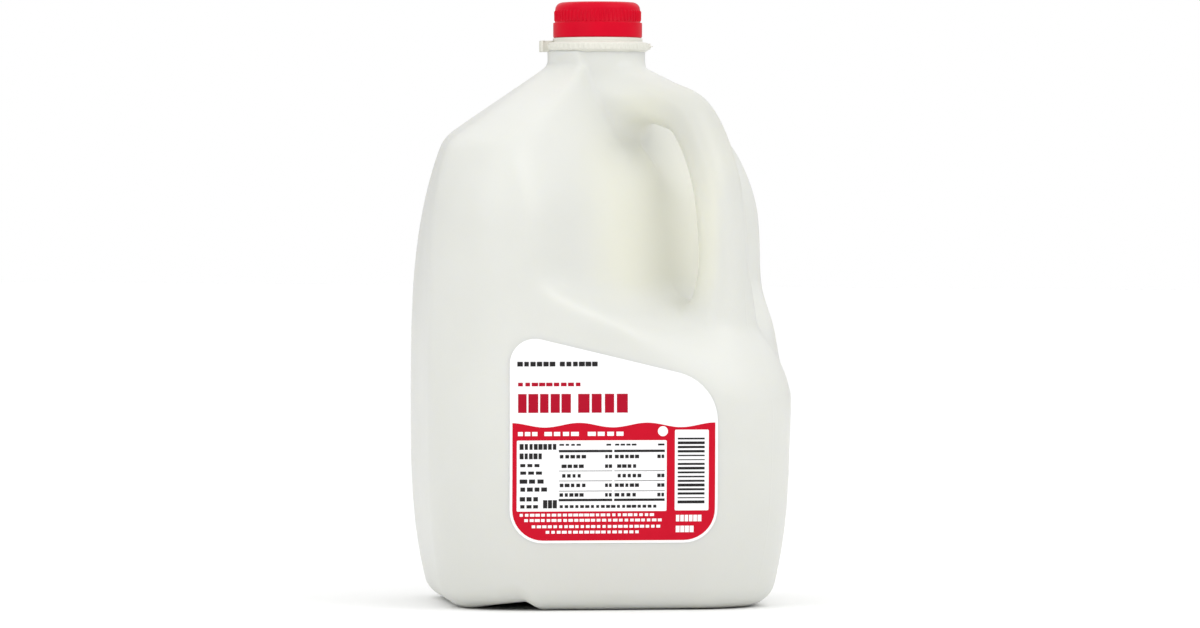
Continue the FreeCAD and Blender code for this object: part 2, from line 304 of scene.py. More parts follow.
def jugDistanceTree(sizes):                    # the jug as a distance field
    inputs = [("Position", "Vector", None)] + [(name, "Float", value) for name, value in sizes.items()]
    tree, ins, outs = newTree("jugDistance", inputs, geometryOut=False)
    size = {name: Flow(tree, ins.outputs[name]) for name in sizes}
    split = addNode(tree, "ShaderNodeSeparateXYZ", i0=ins.outputs["Position"])
    x, y, z = (Flow(tree, socket) for socket in split.outputs)
    sideways = abs(y)
    fromAxis = (x * x + y * y).root()

    belly, shoulderHeight = size["Belly Half Width"], size["Shoulder Height"]
    above = ((z - size["Belly Height"]) / (shoulderHeight - size["Belly Height"])).most(0.0)
    below = ((size["Belly Height"] - z) / size["Belly Height"]).most(0.0)
    half = belly - size["Shoulder Draw In"] * above ** size["Shoulder Curve"]
    half = half - size["Heel Draw In"] * below.least(1.2) ** size["Heel Curve"]    # levels off under the floor
    fuller = softStep((sideways - size["Fuller From"]) / size["Fuller Reach"])
    fuller = fuller * softStep((z - size["Fuller Low"]) / size["Fuller Rise"])
    half = half + size["Corner Fullness"] * fuller     # the two corners at the seam draw in less
    side = roundedSquare(x, y, half, size["Corner Radius"])

    climb = ((z - shoulderHeight) / (size["Neck Base Height"] - shoulderHeight)).least(1.0)
    shoulderHalf = belly - size["Shoulder Draw In"]
    slopeHalf = shoulderHalf + climb * (size["Neck Radius"] - shoulderHalf)
    slopeRadius = size["Corner Radius"] + climb * (size["Neck Radius"] - size["Corner Radius"])
    shoulder = roundedSquare(x, y, slopeHalf, slopeRadius) * size["Shoulder Evening"]
    pinch = softStep(sideways / size["Pinch Width"] + (x + shoulderHalf) / size["Pinch Length"])
    roundness = size["Shoulder Roundness"] * (0.25 + 0.75 * pinch)     # a sharper edge where it is pinched
    body = side.softMost(shoulder, roundness)

    wallX = size["Wall Top"] + size["Wall Slope"] * (shoulderHeight - z)
    bow = (wallX - size["Wall Edge X"]) / (size["Wall Edge Y"] ** 2.0)
    wall = x + bow * y * y - wallX
    turn = sideways.calc("ARCTAN2", x)
    edgeTurn = size["Wall Edge Y"].calc("ARCTAN2", size["Wall Edge X"])
    lip = size["Floor Height"] + size["Floor Rise"] * (turn / edgeTurn) ** size["Lip Curve"]
    floor = (side * size["Floor Slope"] + z - lip) * size["Floor Evening"]
    recess = wall.softLeast(floor, size["Root Roundness"])
    nearHandle = (1.0 - turn / size["Lip Corner Turn"]).most(0.0)
    lipRound = size["Lip Roundness"]
    lipRound = lipRound + (size["Lip Corner Roundness"] - lipRound) * nearHandle * (2.0 - nearHandle)
    body = body.softMost(recess, lipRound)
    leanStart = size["Lean Height"] + size["Lean Rise"] * (turn / size["Lean Turn"]) ** 2.0
    lean = (side + size["Lean Slope"] * (z - leanStart)) * size["Lean Evening"]
    body = body.softMost(lean, size["Lean Roundness"])
    body = body.softLeast(fromAxis - size["Neck Radius"], size["Neck Roundness"])

    inwards = (-side - size["Foot Edge Radius"] - size["Hollow Edge"]) / size["Hollow Inset"]
    base = size["Hollow Depth"] * softStep(inwards)
    notchSine, notchCosine = size["Notch Turn"].calc("SINE"), size["Notch Turn"].calc("COSINE")
    past = x * notchSine - sideways * notchCosine
    ramp = (1.0 - past / size["Notch Short"]).least(1.0 + past / size["Notch Long"]).most(0.0)
    outward = softStep((fromAxis - size["Notch From"]) / size["Notch Reach"])
    frontward = softStep((x + size["Notch Side"]) / size["Notch Side"])
    base = base + size["Notch Height"] * ramp * outward * frontward
    radius = size["Foot Edge Radius"]
    bottom = base - z
    corner = ((body + radius).most(0.0) ** 2.0 + (bottom + radius).most(0.0) ** 2.0).root()
    body = body.most(bottom).least(-radius) + corner

    nearest = addNode(tree, "GeometryNodeProximity", {"target_element": "EDGES"},
                      i0=ins.outputs["Geometry"], Sample_Position=ins.outputs["Position"])
    apart = addNode(tree, "ShaderNodeVectorMath", {"operation": "SUBTRACT"},
                    i0=ins.outputs["Position"], i1=nearest.outputs["Position"])
    gap = addNode(tree, "ShaderNodeSeparateXYZ", i0=apart.outputs[0])
    gapX, gapZ = Flow(tree, gap.outputs[0]), Flow(tree, gap.outputs[2])
    spot = addNode(tree, "ShaderNodeSeparateXYZ", i0=nearest.outputs["Position"])
    lower = ((size["Flare Top"] - Flow(tree, spot.outputs[2])) / size["Flare Reach"]).most(0.0)
    grow = 1.0 + size["Foot Flare"] * lower * lower
    deep = (gapX * gapX + gapZ * gapZ).root() / (size["Handle Depth"] * grow * 0.5)
    wide = sideways / (size["Handle Width"] * grow * 0.5)
    power = size["Oval Power"]
    oval = (deep ** power + wide ** power) ** (power ** -1.0)
    handle = (oval - 1.0) * size["Handle Depth"] * 0.5
    towardsNeck = softStep((size["Arm Reach"] - x) / size["Arm Fade"])
    towardsNeck = towardsNeck * softStep((z - size["Arm Low"]) / size["Arm Low Fade"])
    towardsNeck = towardsNeck * softStep((size["Arm Top"] - z) / size["Arm Top Fade"])
    blendRound = size["Handle Blend"] + (size["Arm Blend"] - size["Handle Blend"]) * towardsNeck
    body = body.softLeast(handle, blendRound)

    noise = addNode(tree, "ShaderNodeTexNoise", Vector=ins.outputs["Position"], Detail=1.0,
                    Scale=size["Waves Per Metre"])
    body = body + Flow(tree, noise.outputs[0]) * 2.0 * size["Waviness"]     # the skin only sinks in
    body = body.most(z - size["Neck Top"]).most(-z)
    tree.links.new(body.socket, outs.inputs["Distance"])
    return tree


def jugTree(sizes, grid, boxLow, boxHigh):     # the distance field's zero made a skin of small faces
    distance = jugDistanceTree(sizes)
    tree, ins, outs = newTree("jugSkin", [(name, "Float", value) for name, value in sizes.items()]
                              + [("Material", "Material", None)])
    space, voxel, probeLength = grid["space"] * mm, grid["voxel"] * mm, grid["probe"] * mm
    longest = grid["longestSlide"] * mm
    low = [value - space for value in boxLow]
    high = [value + space for value in boxHigh]
    counts = [int((b - a) / voxel) for a, b in zip(low, high)]

    def reading(position):
        node = addNode(tree, "GeometryNodeGroup", {"node_tree": distance},
                       Geometry=ins.outputs["Geometry"], Position=position)
        for name in sizes:
            tree.links.new(ins.outputs[name], node.inputs[name])
        return Flow(tree, node.outputs["Distance"])

    here = addNode(tree, "GeometryNodeInputPosition").outputs[0]
    filled = addNode(tree, "GeometryNodeVolumeCube", Density=-reading(here), Background=-1.0,
                     Min=low, Max=high, Resolution_X=counts[0], Resolution_Y=counts[1],
                     Resolution_Z=counts[2])
    skin = addNode(tree, "GeometryNodeVolumeToMesh", Volume=filled.outputs[0], Threshold=0.0)
    shape = skin.outputs[0]
    for _ in range(grid["slides"]):            # the points slide along their normals onto the true surface
        normal = addNode(tree, "GeometryNodeInputNormal").outputs[0]
        probe = addNode(tree, "ShaderNodeVectorMath", {"operation": "SCALE"}, i0=normal, Scale=probeLength)
        ahead = addNode(tree, "ShaderNodeVectorMath", {"operation": "ADD"}, i0=here, i1=probe.outputs[0])
        now = reading(here)
        rate = ((reading(ahead.outputs[0]) - now) / probeLength).most(0.5)     # never near zero
        step = (-(now / rate)).most(-longest).least(longest)
        slide = addNode(tree, "ShaderNodeVectorMath", {"operation": "SCALE"}, i0=normal, Scale=step)
        shape = addNode(tree, "GeometryNodeSetPosition", Geometry=shape, Offset=slide.outputs[0]).outputs[0]
    dressed = addNode(tree, "GeometryNodeSetMaterial", Geometry=shape, Material=ins.outputs["Material"])
    tree.links.new(dressed.outputs[0], outs.inputs[0])
    return tree


hdpeShades = {                                 # millimetres: where the skin's tone changes, with painted bounce light in the recess and painted shade low down and along the handle
    "bounceX": 12.0, "bounceXFade": 26.0, "bounceEnd": 74.0, "bounceEndFade": 6.0,
    "bounceLow": 120.0, "bounceLowFade": 22.0, "bounceTop": 222.0, "bounceTopFade": 12.0,
    "bounceSide": 58.0, "bounceSideFade": 34.0, "lowShadeTop": 100.0, "lowShadeShare": 0.45,
    "handleShadeX": 20.0, "handleShadeXFade": 40.0, "handleShadeSide": 36.0, "handleShadeSideFade": 14.0,
    "handleShadeLow": 112.0, "handleShadeLowFade": 22.0, "handleShadeLowShare": 0.25,
    "handleShadeHigh": 160.0, "handleShadeHighFade": 50.0, "handleShadeHighShare": 0.6,
    "patch": 30.0, "grain": 2.2, "grainDepth": 0.035, "seamHalf": 0.6, "seamHeight": 0.03, "bleed": 4.0,
}


def blowMouldedHdpe(s):                        # natural HDPE, blow-moulded, full of milk
    # waxy skin with a soft sheen and a faint orange peel; light sinks in and comes back milk-white,
    # slightly olive where light crosses the wall more than once, as round the handle, painted in as a lighter
    # warm tone; painted shade greys it low down and along the handle; a fine mould seam
    material, tree, shader = newMaterial("naturalHdpeBlowMoulded", "dcddd7", 0.38, 1.54)
    place, bump = roughSkin(tree, shader, s["grain"], s["grainDepth"])
    shader.inputs["Subsurface Weight"].default_value = 0.6
    shader.inputs["Subsurface Radius"].default_value = (1.0, 0.95, 0.75)
    shader.inputs["Subsurface Scale"].default_value = s["bleed"] * mm
    x, y, z = (Flow(tree, axis) for axis in addNode(tree, "ShaderNodeSeparateXYZ", i0=place).outputs)
    sideways = abs(y)

    def above(value, start, fade):             # 0 before the start, 1 once past its fade
        return softStep((value - s[start] * mm) / (s[fade] * mm))

    def under(value, start, fade):
        return softStep((s[start] * mm - value) / (s[fade] * mm))

    # painted bounce light: a lighter, warmer tone in the recess and round the handle, where light bounces
    # between wall and handle
    bounceShare = above(x, "bounceX", "bounceXFade") * under(x, "bounceEnd", "bounceEndFade")
    bounceShare = bounceShare * above(z, "bounceLow", "bounceLowFade") * under(z, "bounceTop", "bounceTopFade")
    bounceShare = bounceShare * under(sideways, "bounceSide", "bounceSideFade")
    ruleThickOrLowShade = under(z, "lowShadeTop", "lowShadeTop") * s["lowShadeShare"]    # painted shade: greyer low down, towards the floor
    hollow = above(x, "handleShadeX", "handleShadeXFade") * under(sideways, "handleShadeSide", "handleShadeSideFade")
    lift = above(z, "handleShadeLow", "handleShadeLowFade") * s["handleShadeLowShare"]
    lift = lift + above(z, "handleShadeHigh", "handleShadeHighFade") * s["handleShadeHighShare"]
    handleShade = hollow * lift                       # and painted shade along the handle and the recess beside it, deeper higher up
    body = mixColours(tree, patchyNoise(tree, place, s["patch"]), "d9dad4", "dfe0db")
    bounceLit = mixColours(tree, bounceShare, body, "e8e8db")
    shaded = mixColours(tree, ruleThickOrLowShade.most(handleShade), bounceLit, "cdcec8")
    tree.links.new(shaded, shader.inputs["Base Color"])
    seam = softStep(1.0 - sideways / (s["seamHalf"] * mm)) * s["seamHeight"] * mm
    ridge = addNode(tree, "ShaderNodeBump", Height=seam, Distance=1.0, Strength=1.0, Normal=bump.outputs[0])
    tree.links.new(ridge.outputs[0], shader.inputs["Normal"])
    return material


def makeJug():
    sizes = inMetres(jugSizes)
    low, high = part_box("jug")
    line = smoothRoute(handleRoute, 12)
    base = bpy.data.meshes.new("handleRoute")
    base.from_pydata(line, [(i, i + 1) for i in range(len(line) - 1)], [])
    boxHigh = (high[0], high[1], sizes["Neck Top"])
    tree = jugTree(sizes, skinGrid, low, boxHigh)
    jug = makePiece("jugSkin", runTree("jugSkin", base, tree, sizes | {"Material": hdpe}), 180)
    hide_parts("jug")
    return jug


hdpe = blowMouldedHdpe(hdpeShades)
jug = makeJug()


# turned pieces: the neck's ring and the cap, each with small parts repeated round it
def turned(name, outline, steps):              # (radius, height) points round the axis, poles closed
    points, rows = [], []
    for radius, height in outline:
        if radius == 0:
            rows.append([len(points)] * steps)
            points.append((0, 0, height * mm))
            continue
        rows.append(list(range(len(points), len(points) + steps)))
        for step in range(steps):
            angle = math.tau * step / steps
            points.append((radius * mm * math.cos(angle), radius * mm * math.sin(angle), height * mm))
    faces = []
    for low, high in zip(rows, rows[1:]):
        for a, b in zip(range(steps), [*range(1, steps), 0]):
            face = list(dict.fromkeys((low[a], low[b], high[b], high[a])))
            faces.append(face)
    return plainMesh(name, points, faces)


def quarter(centreRadius, centreHeight, radius, start, end, steps=6):   # an arc in an outline, in degrees
    turns = [math.radians(start + (end - start) * step / steps) for step in range(steps + 1)]
    return [(centreRadius + radius * math.cos(t), centreHeight + radius * math.sin(t)) for t in turns]


def softBar(name, width, depth, height, tip):  # an upright half-round bar, faded out at both ends
    across = [(-0.5, 0), (-0.3, 0.75), (0, 1), (0.3, 0.75), (0.5, 0)]
    stations = [(0, 0.0), (tip, 0.9), (height - tip, 1.0), (height, 0.0)]
    points = [((out * depth * swell - sunk) * mm, side * width * mm, z * mm)
              for z, swell in stations for side, out in across]
    wide = len(across)
    faces = [(row * wide + i, row * wide + i + 1, (row + 1) * wide + i + 1, (row + 1) * wide + i)
             for row in range(len(stations) - 1) for i in range(wide - 1)]
    return bpy.data.objects.new(name, plainMesh(name, points, faces))


def ringTree(name):                            # joins a turned body to small parts set round its axis
    tree, ins, outs = newTree(name, [("Part", "Object", None), ("Count", "Int", 60),
                                     ("Radius", "Float", 0.02), ("Height", "Float", 0.0),
                                     ("Material", "Material", None)])
    circle = addNode(tree, "GeometryNodeMeshCircle", Vertices=ins.outputs["Count"],
                     Radius=ins.outputs["Radius"])
    lift = addNode(tree, "ShaderNodeCombineXYZ", Z=ins.outputs["Height"])
    raised = addNode(tree, "GeometryNodeSetPosition", Geometry=circle.outputs[0], Offset=lift.outputs[0])
    place = addNode(tree, "GeometryNodeInputPosition")
    flat = addNode(tree, "ShaderNodeVectorMath", {"operation": "MULTIPLY"}, i0=place.outputs[0], i1=(1, 1, 0))
    facing = addNode(tree, "FunctionNodeAlignEulerToVector", {"axis": "X", "pivot_axis": "Z"},
                     Vector=flat.outputs[0])
    part = addNode(tree, "GeometryNodeObjectInfo", Object=ins.outputs["Part"])
    copies = addNode(tree, "GeometryNodeInstanceOnPoints", Points=raised.outputs[0],
                     Instance=part.outputs["Geometry"], Rotation=facing.outputs[0])
    joined = addNode(tree, "GeometryNodeJoinGeometry")
    tree.links.new(copies.outputs[0], joined.inputs[0])
    tree.links.new(ins.outputs["Geometry"], joined.inputs[0])
    real = addNode(tree, "GeometryNodeRealizeInstances", Geometry=joined.outputs[0])
    dressed = addNode(tree, "GeometryNodeSetMaterial", Geometry=real.outputs[0],
                      Material=ins.outputs["Material"])
    tree.links.new(dressed.outputs[0], outs.inputs[0])
    return tree


roundAbout = ringTree("roundAbout")

neckSizes = {"ringRadius": 21.6, "ringLow": 233.5, "ringThick": 3.4, "beadRadius": 19.0, "beadHeight": 2.0,
             "teeth": 60, "toothDepth": 0.45, "toothWidth": 1.5, "toothHeight": 2.4, "toothTip": 0.4,
             "stopRoot": 19.0, "stopReach": 23.5, "stopWidth": 4.4, "stopHeight": 2.5, "stopTurn": 45.0,
             "stopLift": 0.55, "stopRounding": 1.1, "skirt": 2.6, "skirtFoot": 18.0, "skirtTop": 20.1,
             "edge": 0.5, "topEdge": 0.8, "spoutRadius": 16.5, "spoutRise": 0.4,
             "grain": 1.1, "grainDepth": 0.02, "patch": 8.0}
sunk = 0.15                                    # millimetres that a bar's back lies inside what carries it


def stopLug(s, turn):                          # one of the ring's two rounded stops, that far from +X
    lug = bpy.data.meshes.new("stopLug")
    shape = bmesh.new()
    bmesh.ops.create_cube(shape, size=1.0)
    length = s["stopReach"] - s["stopRoot"]
    middle = Vector((s["stopRoot"] + length / 2, 0, s["ringLow"] + s["ringThick"] * s["stopLift"]))
    for point in shape.verts:
        x, y, z = point.co
        spot = Vector((x * length, y * s["stopWidth"], z * s["stopHeight"])) + middle
        point.co = Matrix.Rotation(math.radians(turn), 3, "Z") @ spot * mm
    bmesh.ops.bevel(shape, geom=shape.edges[:], offset=s["stopRounding"] * mm, segments=3, affect="EDGES")
    shape.to_mesh(lug)
    shape.free()
    return lug


def joinMeshes(name, meshes):                  # several meshes as one, with the materials they carry
    shape = bmesh.new()
    for mesh in meshes:
        shape.from_mesh(mesh)
    joined = bpy.data.meshes.new(name)
    for mesh in meshes:
        for material in mesh.materials:
            if material and material.name not in joined.materials:
                joined.materials.append(material)
    shape.to_mesh(joined)
    shape.free()
    return joined


def pinchedNeckHdpe(s):                        # natural HDPE, formed by the blow pin
    # the thickest plastic of the jug: whiter and a little warmer than its walls, smooth, with a soft shine
    material, tree, shader = newMaterial("naturalHdpePinchedNeck", "e0dfd5", 0.34, 1.54)
    place, _ = roughSkin(tree, shader, s["grain"], s["grainDepth"])
    tone = mixColours(tree, patchyNoise(tree, place, s["patch"]), "dcdcd2", "e5e3d9")
    tree.links.new(tone, shader.inputs["Base Color"])
    return material


def makeNeckRing(s):
    low, top = s["ringLow"], s["ringLow"] + s["ringThick"]
    edge, topEdge, beadTop = s["edge"], s["topEdge"], top + s["beadHeight"]
    outline = [(0, low - s["skirt"]), (s["skirtFoot"], low - s["skirt"]), (s["skirtTop"], low - 0.6)]
    outline += quarter(s["ringRadius"] - edge, low + edge, edge, -90, 0)
    outline += quarter(s["ringRadius"] - topEdge, top - topEdge, topEdge, 0, 90)
    outline += [(s["beadRadius"] + edge, top + 0.05), (s["beadRadius"], top + edge)]
    outline += quarter(s["beadRadius"] - edge, beadTop - edge, edge, 0, 90)
    outline += [(s["spoutRadius"], beadTop + s["spoutRise"]), (0, beadTop + s["spoutRise"])]
    body = turned("neckRing", outline, 180)
    tooth = softBar("ringTooth", s["toothWidth"], s["toothDepth"] + sunk, s["toothHeight"], s["toothTip"])
    sizes = {"Part": tooth, "Count": s["teeth"], "Radius": s["ringRadius"] * mm, "Height": (low + 0.3) * mm,
             "Material": pinchedNeckHdpe(s)}
    parts = [body, stopLug(s, s["stopTurn"]), stopLug(s, s["stopTurn"] + 180)]
    ring = runTree("neckRing", joinMeshes("neckRing", parts), roundAbout, sizes)
    bpy.data.objects.remove(tooth)
    makePiece("neckRing", ring)


makeNeckRing(neckSizes)

capSizes = {"radius": 18.5, "flare": 0.35, "low": 239.0, "height": 15.0, "edge": 3.2, "wall": 1.4,
            "ribs": 60, "ribDepth": 0.5, "ribWidth": 1.0, "ribHeight": 5.4, "ribTip": 0.9,
            "stepBelowTop": 8.6, "stepEdge": 0.35, "hem": 0.4, "dishRadius": 12.5, "dishDepth": 0.12,
            "grain": 0.6, "grainDepth": 0.02, "streak": 9.0}


def mouldedCapPlastic(s):                      # red polyethylene, injection-moulded
    # clean, slightly glossy, with faint streaks of flow and a light satin
    material, tree, shader = newMaterial("redPolyethyleneInjectionMoulded", "dd1233", 0.34, 1.52)
    shader.inputs["Specular IOR Level"].default_value = 0.08
    place, _ = roughSkin(tree, shader, s["grain"], s["grainDepth"])
    streaks = addNode(tree, "ShaderNodeTexNoise", Vector=place, Scale=1 / (s["streak"] * mm), Detail=3.0)
    tone = mixColours(tree, streaks.outputs[0], "c60323", "da0628")
    tree.links.new(tone, shader.inputs["Base Color"])
    return material


def makeCap(s):
    top, low = s["low"] + s["height"], s["low"]
    wide, narrow = s["radius"] + s["flare"], s["radius"] - s["ribDepth"]
    step, inner = top - s["stepBelowTop"], s["radius"] - s["wall"]
    outline = [(0, top - s["wall"]), (inner, top - s["wall"]), (inner, low)]
    outline += [(wide - s["hem"], low), (wide, low + s["hem"])]
    outline += quarter(wide - s["stepEdge"], step - s["stepEdge"], s["stepEdge"], 0, 90, 4)
    outline += [(narrow + 0.15, step + 0.02), (narrow, step + 0.2)]
    outline += quarter(narrow - s["edge"], top - s["edge"], s["edge"], 0, 90, 8)
    dish = top - s["dishDepth"]
    outline += [(s["dishRadius"], top), (s["dishRadius"] - 0.3, dish), (0, dish)]
    body = turned("cap", outline, 216)
    rib = softBar("capRib", s["ribWidth"], s["ribDepth"] + sunk, s["ribHeight"], s["ribTip"])
    sizes = {"Part": rib, "Count": s["ribs"], "Radius": narrow * mm, "Height": (step + 0.05) * mm,
             "Material": mouldedCapPlastic(s)}
    cap = makePiece("capShell", runTree("cap", body, roundAbout, sizes))
    bpy.data.objects.remove(rib)
    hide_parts("cap")


makeCap(capSizes)


# the label: a film on the flat face with its print laid on it in thin inks
# places on the label are in millimetres: u along the face from its middle, v up from the foot
labelSizes = {"left": -45.2, "right": 41.2, "low": 28.4, "high": 115.7, "topDrop": 20.8, "corner": 14.0,
              "topCorner": 10.5, "farCorner": 21.0, "film": 0.22, "ink": 0.05, "grain": 3.5, "border": 1.1,
              "waveTop": 77.2, "wavePeak": 0.95, "wavePitch": 28.3, "waveStart": -44.8,
              "dot": (18.3, 74.6, 2.1), "turnIn": 0.5}
tableSizes = {"left": -42.3, "right": 19.9, "low": 41.6, "high": 70.9, "columns": (-24.9, -2.7, -1.9, 19.1),
              "rule": 1.0, "thinRule": 0.22, "thickRules": (66.5, 46.3), "thinRules": (58.3, 54.2, 50.0),
              "rows": 5, "rowTop": 64.2, "rowPitch": 3.95, "rowHeight": 1.45, "rowLong": 11.5, "rowWord": 2.3,
              "rowLeast": 0.62, "figureLong": 3.2, "figureWord": 1.5, "figureLeast": 0.75,
              "head": 69.1, "headHeight": 0.75, "headLong": 9.4, "headShort": 3.0, "grain": 3.5}
# one line of small print: left, right, height, middle, pitch of its bars, least length, seed
tableLines = [(-24.9, 16.1, 1.2, 43.6, 2.2, 0.6, 70), (-41.3, -25.7, 2.4, 68.3, 2.0, 0.7, 80),
              (-41.3, -31.7, 2.4, 64.4, 2.0, 0.7, 81), (-41.3, -32.5, 1.3, 60.6, 3.0, 0.7, 82),
              (-41.3, -31.5, 1.3, 57.5, 3.2, 0.7, 83), (-41.3, -30.7, 1.7, 54.0, 3.4, 0.7, 84),
              (-41.3, -29.5, 1.7, 50.7, 3.0, 0.7, 85), (-41.3, -33.1, 1.8, 46.7, 2.6, 0.7, 86),
              (-41.3, -33.1, 1.4, 43.6, 2.6, 0.7, 87), (-31.5, -25.5, 3.4, 44.6, 2.0, 0.8, 90)]
titleLines = [(-42.3, -19.6, 7.8, 86.2, 4.5, 0.84, 5), (-17.2, 4.1, 7.8, 86.2, 5.2, 0.8, 6),
              (-42.3, -15.4, 1.5, 94.0, 3.0, 0.55, 7)]
whiteLines = [(-42.3, -33.4, 1.7, 73.6, 3.0, 0.7, 20), (-31.2, -16.4, 1.7, 73.6, 3.6, 0.7, 21),
              (-13.2, 2.4, 1.7, 73.6, 3.6, 0.7, 22), (-41.5, 15.0, 1.15, 40.1, 2.3, 0.6, 23),
              (-39.5, 18.3, 1.15, 37.9, 2.3, 0.6, 24), (-36.4, 17.7, 1.15, 35.3, 2.3, 0.6, 25),
              (-30.6, 8.9, 1.15, 33.0, 2.3, 0.6, 26), (23.7, 34.6, 2.7, 38.6, 1.9, 0.8, 27),
              (23.7, 31.4, 2.7, 34.1, 1.9, 0.8, 28)]
blackLines = [(-42.3, -26.2, 1.9, 102.4, 2.7, 0.75, 30), (-24.8, -8.6, 1.9, 102.4, 2.7, 0.75, 31)]
codeSizes = {"left": 23.3, "right": 37.4, "low": 41.8, "high": 75.2, "barLeft": 24.5, "barRight": 35.7,
             "barLow": 45.3, "barHigh": 71.5, "bars": 15, "barShare": 0.72, "barLeast": 0.3, "seed": 4}
wordShare = 0.9                                # of a bar's pitch; the rest is the space before the next


def roundCorners(corners, radii, steps=10):    # a polygon with an arc in place of each corner
    outline = []
    count = len(corners)
    for place, radius in enumerate(radii):
        here = Vector(corners[place])
        back = (Vector(corners[place - 1]) - here).normalized()
        ahead = (Vector(corners[(place + 1) % count]) - here).normalized()
        half = back.angle(ahead) / 2
        reach = radius / math.tan(half)
        centre = here + (back + ahead).normalized() * radius / math.sin(half)
        start, end = here + back * reach - centre, here + ahead * reach - centre
        sweep = start.angle_signed(end)
        for step in range(steps + 1):
            turn = -sweep * step / steps
            outline.append(centre + Vector((start.x * math.cos(turn) - start.y * math.sin(turn),
                                            start.x * math.sin(turn) + start.y * math.cos(turn))))
    return outline


def flatShape(outlines, grain):                # outlines filled and cut fine enough to follow the face
    shape = bmesh.new()
    for outline in outlines:
        shape.faces.new([shape.verts.new((u, v, 0)) for u, v in outline])
    for axis in (0, 1):
        low = min(point.co[axis] for point in shape.verts)
        high = max(point.co[axis] for point in shape.verts)
        across = Vector((1, 0, 0)) if axis == 0 else Vector((0, 1, 0))
        for cut in range(1, int((high - low) / grain) + 1):
            everything = shape.verts[:] + shape.edges[:] + shape.faces[:]
            place = across * (low + cut * grain)
            bmesh.ops.bisect_plane(shape, geom=everything, plane_co=place, plane_no=across)
    bmesh.ops.triangulate(shape, faces=[face for face in shape.faces if len(face.verts) > 4])
    bmesh.ops.recalc_face_normals(shape, faces=shape.faces)
    mesh = bpy.data.meshes.new("flatShape")
    shape.to_mesh(mesh)
    shape.free()
    return mesh


def rectangle(left, right, low, high):
    return [(left, low), (right, low), (right, high), (left, high)]


pressReach = 0.12                              # metres from the jug's axis, well outside its face


def pressTree():                               # lays flat artwork on the jug's face, a little above it
    tree, ins, outs = newTree("pressedOn", [("Jug", "Object", None), ("Lift", "Float", 0.0002),
                                            ("Material", "Material", None)])
    u, v, _ = addNode(tree, "ShaderNodeSeparateXYZ",
                      i0=addNode(tree, "GeometryNodeInputPosition").outputs[0]).outputs
    along = addNode(tree, "ShaderNodeVectorMath", {"operation": "SCALE"}, i0=tuple(faceAlong * mm), Scale=u)
    start = addNode(tree, "ShaderNodeVectorMath", {"operation": "ADD"}, i0=along.outputs[0],
                    i1=tuple(faceOut * pressReach))
    height = addNode(tree, "ShaderNodeCombineXYZ", Z=Flow(tree, v) * mm)
    start = addNode(tree, "ShaderNodeVectorMath", {"operation": "ADD"}, i0=start.outputs[0],
                    i1=height.outputs[0])
    jugInfo = addNode(tree, "GeometryNodeObjectInfo", Object=ins.outputs["Jug"])
    hit = addNode(tree, "GeometryNodeRaycast", Target_Geometry=jugInfo.outputs["Geometry"],
                  Source_Position=start.outputs[0], Ray_Direction=tuple(-faceOut), Ray_Length=pressReach)
    lift = addNode(tree, "ShaderNodeVectorMath", {"operation": "SCALE"}, i0=tuple(faceOut),
                   Scale=ins.outputs["Lift"])
    spot = addNode(tree, "ShaderNodeVectorMath", {"operation": "ADD"}, i0=hit.outputs["Hit Position"],
                   i1=lift.outputs[0])
    laid = addNode(tree, "GeometryNodeSetPosition", Geometry=ins.outputs["Geometry"],
                   Position=spot.outputs[0])
    dressed = addNode(tree, "GeometryNodeSetMaterial", Geometry=laid.outputs[0],
                      Material=ins.outputs["Material"])
    tree.links.new(dressed.outputs[0], outs.inputs[0])
    return tree


filmSkin = {"grain": 1.4, "grainDepth": 0.012, "mottle": 5.0}    # millimetres


def printedFilm(name, colour, thinner, roughness, gloss=0.5):   # polypropylene film, gravure-printed
    # nearly even colour that mottles over a few millimetres, crisp edges and a satin face; inks shine
    # less than the bare film
    material, tree, shader = newMaterial(name, colour, roughness, 1.49)
    shader.inputs["Specular IOR Level"].default_value = gloss
    place, _ = roughSkin(tree, shader, filmSkin["grain"], filmSkin["grainDepth"])
    tone = mixColours(tree, patchyNoise(tree, place, filmSkin["mottle"]), colour, thinner)
    tree.links.new(tone, shader.inputs["Base Color"])
    return material


pressedOn = pressTree()


def layPrint(name, meshes, material, lift):
    values = {"Jug": jug, "Lift": lift * mm, "Material": material}
    return runTree(name, joinMeshes(name, meshes), pressedOn, values)


def barsTree():                                # a row of bars of uneven size, such as a line of small print
    tree, ins, outs = newTree("printedBars", [("Start", "Vector", None), ("Step", "Vector", None),
                                              ("Size", "Vector", None), ("Least", "Vector", None),
                                              ("Count", "Int", 8), ("Seed", "Int", 1)], geometryIn=False)
    line = addNode(tree, "GeometryNodeMeshLine", Count=ins.outputs["Count"],
                   Start_Location=ins.outputs["Start"], Offset=ins.outputs["Step"])
    share = addNode(tree, "FunctionNodeRandomValue", {"data_type": "FLOAT_VECTOR"}, i0=ins.outputs["Least"],
                    i1=(1, 1, 1), Seed=ins.outputs["Seed"])
    size = addNode(tree, "ShaderNodeVectorMath", {"operation": "MULTIPLY"}, i0=ins.outputs["Size"],
                   i1=share.outputs[0])
    blank = addNode(tree, "GeometryNodeMeshGrid", Size_X=1.0, Size_Y=1.0, Vertices_X=4, Vertices_Y=4)
    bars = addNode(tree, "GeometryNodeInstanceOnPoints", Points=line.outputs[0], Instance=blank.outputs[0],
                   Scale=size.outputs[0])
    real = addNode(tree, "GeometryNodeRealizeInstances", Geometry=bars.outputs[0])
    tree.links.new(real.outputs[0], outs.inputs[0])
    return tree


printedBars = barsTree()


